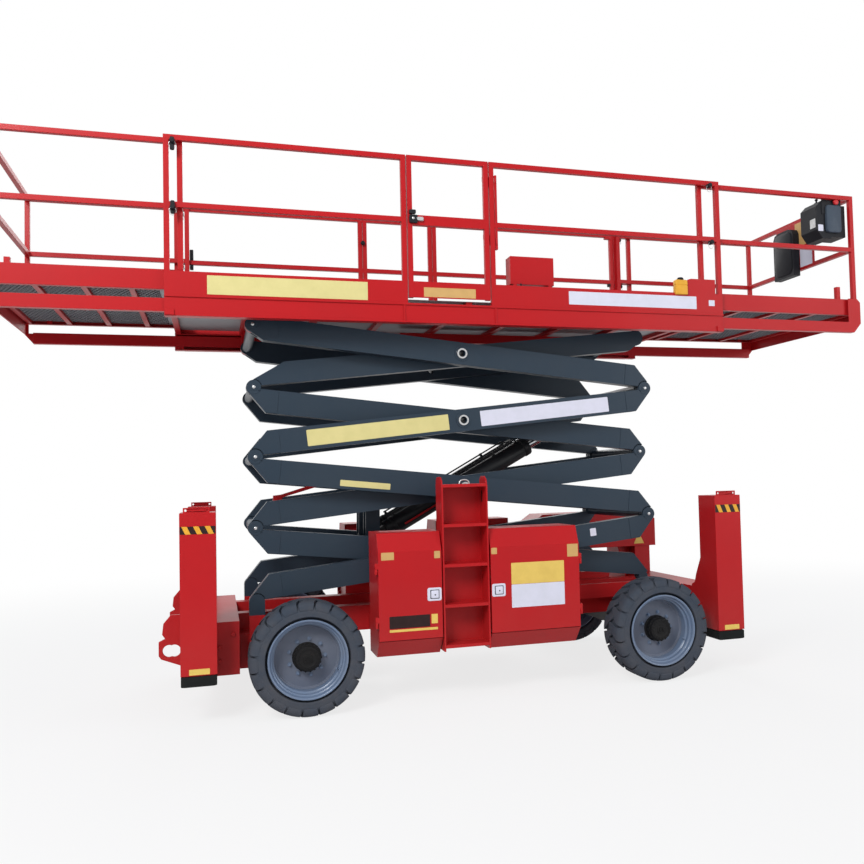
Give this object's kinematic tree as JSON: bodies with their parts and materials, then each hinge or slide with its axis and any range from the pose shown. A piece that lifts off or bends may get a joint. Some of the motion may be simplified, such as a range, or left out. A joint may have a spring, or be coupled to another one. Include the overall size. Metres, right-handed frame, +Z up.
{
  "type": "rough-terrain scissor lift",
  "caption": "Rough-terrain scissor lift with stacked arms, hydraulic cylinders, sliding deck extensions, railed platform, outriggers, boarding ladder and steered wheels.",
  "frame": {"origin": "on the ground under the middle of the overall length and width, with both deck extensions run out", "axes": "+X to the steered front axle, +Y to the left side, +Z up"},
  "size_m": [7.35, 2.29, 4.284],
  "materials": {
    "red_paint": "gloss",
    "slate_paint": "satin",
    "tyre": "matte",
    "rim_paint": "satin",
    "black_paint": "satin",
    "cast_black": "matte",
    "chrome_rod": "polished",
    "deck_steel": "matte",
    "black_plastic": "matte"
  },
  "bodies": {
    "chassis": {"chassis_frame": "red_paint", "end_beam_rear": "red_paint", "end_beam_front": "red_paint", "rear_axle": "black_paint", "front_axle": "black_paint", "engine_block": "cast_black", "ladder": "red_paint", "front_hood": "red_paint", "housing_rear_right": "red_paint", "housing_rear_left": "red_paint", "housing_front_right": "red_paint", "housing_front_left": "red_paint", "outrigger_column_rear_right": "red_paint", "outrigger_column_rear_left": "red_paint", "outrigger_column_front_right": "red_paint", "outrigger_column_front_left": "red_paint"},
    "knuckle_right": {"knuckle_right": "black_paint"},
    "knuckle_left": {"knuckle_left": "black_paint"},
    "wheel_rear_right": {"tyre_rear_right": "tyre", "rim_rear_right": "rim_paint"},
    "wheel_rear_left": {"tyre_rear_left": "tyre", "rim_rear_left": "rim_paint"},
    "wheel_front_right": {"tyre_front_right": "tyre", "rim_front_right": "rim_paint"},
    "wheel_front_left": {"tyre_front_left": "tyre", "rim_front_left": "rim_paint"},
    "leg_rear_right": {"outrigger_leg_rear_right": "red_paint"},
    "leg_rear_left": {"outrigger_leg_rear_left": "red_paint"},
    "leg_front_right": {"outrigger_leg_front_right": "red_paint"},
    "leg_front_left": {"outrigger_leg_front_left": "red_paint"},
    "door_rear_right": {"door_rear_right": "red_paint"},
    "door_rear_left": {"door_rear_left": "red_paint"},
    "door_front_right": {"door_front_right": "red_paint"},
    "door_front_left": {"door_front_left": "red_paint"},
    "outer_arms_1": {"outer_arms_1": "slate_paint"},
    "inner_arms_1": {"inner_arms_1": "slate_paint"},
    "outer_arms_2": {"outer_arms_2": "slate_paint"},
    "inner_arms_2": {"inner_arms_2": "slate_paint", "safety_prop": "red_paint"},
    "outer_arms_3": {"outer_arms_3": "slate_paint"},
    "inner_arms_3": {"inner_arms_3": "slate_paint"},
    "outer_arms_4": {"outer_arms_4": "slate_paint"},
    "inner_arms_4": {"inner_arms_4": "slate_paint"},
    "platform": {"platform_frame": "red_paint", "platform_floor": "deck_steel", "rail_rear_right": "red_paint", "rail_front_right": "red_paint", "rail_left": "red_paint", "tool_box": "red_paint"},
    "lift_barrels": {"lift_barrels": "black_paint"},
    "lift_rods": {"lift_rods": "chrome_rod"},
    "gate": {"gate": "red_paint"},
    "extension_rear": {"extension_deck_rear": "red_paint", "extension_rails_rear": "red_paint"},
    "extension_front": {"extension_deck_front": "red_paint", "extension_rails_front": "red_paint", "control_box": "black_plastic", "document_box": "black_plastic"}
  },
  "joints": [
    {"name": "steer_right", "type": "hinge", "parent": "chassis", "child": "knuckle_right", "pos_m": [1.395, -0.85, 0.419], "axis": [0, 0, 1], "range_deg": [-32, 32]},
    {"name": "steer_left", "type": "hinge", "parent": "chassis", "child": "knuckle_left", "pos_m": [1.395, 0.85, 0.419], "axis": [0, 0, 1], "range_deg": [-32, 32]},
    {"name": "spin_rear_right", "type": "hinge", "parent": "chassis", "child": "wheel_rear_right", "pos_m": [-1.465, -0.9925, 0.419], "axis": [0, 1, 0], "continuous": true},
    {"name": "spin_rear_left", "type": "hinge", "parent": "chassis", "child": "wheel_rear_left", "pos_m": [-1.465, 0.9925, 0.419], "axis": [0, 1, 0], "continuous": true},
    {"name": "spin_front_right", "type": "hinge", "parent": "knuckle_right", "child": "wheel_front_right", "pos_m": [1.395, -0.9925, 0.419], "axis": [0, 1, 0], "continuous": true},
    {"name": "spin_front_left", "type": "hinge", "parent": "knuckle_left", "child": "wheel_front_left", "pos_m": [1.395, 0.9925, 0.419], "axis": [0, 1, 0], "continuous": true},
    {"name": "outrigger_rear_right", "type": "slide", "parent": "chassis", "child": "leg_rear_right", "axis": [0, 0, -1], "range_m": [0, 0.4]},
    {"name": "outrigger_rear_left", "type": "slide", "parent": "chassis", "child": "leg_rear_left", "axis": [0, 0, -1], "range_m": [0, 0.4]},
    {"name": "outrigger_front_right", "type": "slide", "parent": "chassis", "child": "leg_front_right", "axis": [0, 0, -1], "range_m": [0, 0.4]},
    {"name": "outrigger_front_left", "type": "slide", "parent": "chassis", "child": "leg_front_left", "axis": [0, 0, -1], "range_m": [0, 0.4]},
    {"name": "door_rear_right", "type": "hinge", "parent": "chassis", "child": "door_rear_right", "pos_m": [-0.958, -1.106, 0.9], "axis": [0, 0, -1], "range_deg": [0, 100]},
    {"name": "door_rear_left", "type": "hinge", "parent": "chassis", "child": "door_rear_left", "pos_m": [-0.958, 1.106, 0.9], "axis": [0, 0, 1], "range_deg": [0, 100]},
    {"name": "door_front_right", "type": "hinge", "parent": "chassis", "child": "door_front_right", "pos_m": [0.686, -1.106, 0.9], "axis": [0, 0, 1], "range_deg": [0, 100]},
    {"name": "door_front_left", "type": "hinge", "parent": "chassis", "child": "door_front_left", "pos_m": [0.686, 1.106, 0.9], "axis": [0, 0, -1], "range_deg": [0, 100]},
    {"name": "lift", "type": "hinge", "parent": "chassis", "child": "outer_arms_1", "pos_m": [-1.8, 0, 0.803], "axis": [0, -1, 0], "range_deg": [-6.03, 52.56]},
    {"name": "centre_pin_1", "type": "hinge", "parent": "outer_arms_1", "child": "inner_arms_1", "pos_m": [-0.13882, 0, 1.0793], "axis": [0, -1, 0], "range_deg": [-105.2, 12.1]},
    {"name": "outer_pin_2", "type": "hinge", "parent": "outer_arms_1", "child": "outer_arms_2", "pos_m": [1.52236, 0, 1.3556], "axis": [0, -1, 0], "range_deg": [-105.2, 12.1]},
    {"name": "centre_pin_2", "type": "hinge", "parent": "outer_arms_2", "child": "inner_arms_2", "pos_m": [-0.13882, 0, 1.6319], "axis": [0, -1, 0], "range_deg": [-12.1, 105.2]},
    {"name": "outer_pin_3", "type": "hinge", "parent": "outer_arms_2", "child": "outer_arms_3", "pos_m": [-1.8, 0, 1.9082], "axis": [0, -1, 0], "range_deg": [-12.1, 105.2]},
    {"name": "centre_pin_3", "type": "hinge", "parent": "outer_arms_3", "child": "inner_arms_3", "pos_m": [-0.13882, 0, 2.1845], "axis": [0, -1, 0], "range_deg": [-105.2, 12.1]},
    {"name": "outer_pin_4", "type": "hinge", "parent": "outer_arms_3", "child": "outer_arms_4", "pos_m": [1.52236, 0, 2.4608], "axis": [0, -1, 0], "range_deg": [-105.2, 12.1]},
    {"name": "centre_pin_4", "type": "hinge", "parent": "outer_arms_4", "child": "inner_arms_4", "pos_m": [-0.13882, 0, 2.7371], "axis": [0, -1, 0], "range_deg": [-12.1, 105.2]},
    {"name": "platform_pin", "type": "hinge", "parent": "outer_arms_4", "child": "platform", "pos_m": [-1.80842, 0, 2.93384], "axis": [0, -1, 0], "range_deg": [-6.1, 52.6]},
    {"name": "barrel_pin", "type": "hinge", "parent": "inner_arms_2", "child": "lift_barrels", "pos_m": [-0.83797, 0, 1.21], "axis": [0, -1, 0], "range_deg": [-2, 0.3]},
    {"name": "rod_slide", "type": "slide", "parent": "lift_barrels", "child": "lift_rods", "axis": [0.8757, 0, 0.4829], "range_m": [-0.143, 1.247]},
    {"name": "gate_hinge", "type": "hinge", "parent": "platform", "child": "gate", "pos_m": [0.055, -0.862, 3.7], "axis": [0, 0, -1], "range_deg": [0, 90]},
    {"name": "extension_rear", "type": "slide", "parent": "platform", "child": "extension_rear", "axis": [1, 0, 0], "range_m": [0, 1.2]},
    {"name": "extension_front", "type": "slide", "parent": "platform", "child": "extension_front", "axis": [-1, 0, 0], "range_m": [0, 1.33]}
  ],
  "couplings": [
    {"joint": "centre_pin_1", "follows": "lift", "ratio": -2},
    {"joint": "outer_pin_2", "follows": "lift", "ratio": -2},
    {"joint": "centre_pin_2", "follows": "lift", "ratio": 2},
    {"joint": "outer_pin_3", "follows": "lift", "ratio": 2},
    {"joint": "centre_pin_3", "follows": "lift", "ratio": -2},
    {"joint": "outer_pin_4", "follows": "lift", "ratio": -2},
    {"joint": "centre_pin_4", "follows": "lift", "ratio": 2},
    {"joint": "platform_pin", "follows": "lift", "ratio": 1},
    {"joint": "barrel_pin", "follows": "lift", "ratio": -0.037},
    {"joint": "rod_slide", "follows": "lift", "m_per_rad": 1.3585},
    {"joint": "steer_left", "follows": "steer_right", "ratio": 1}
  ]
}
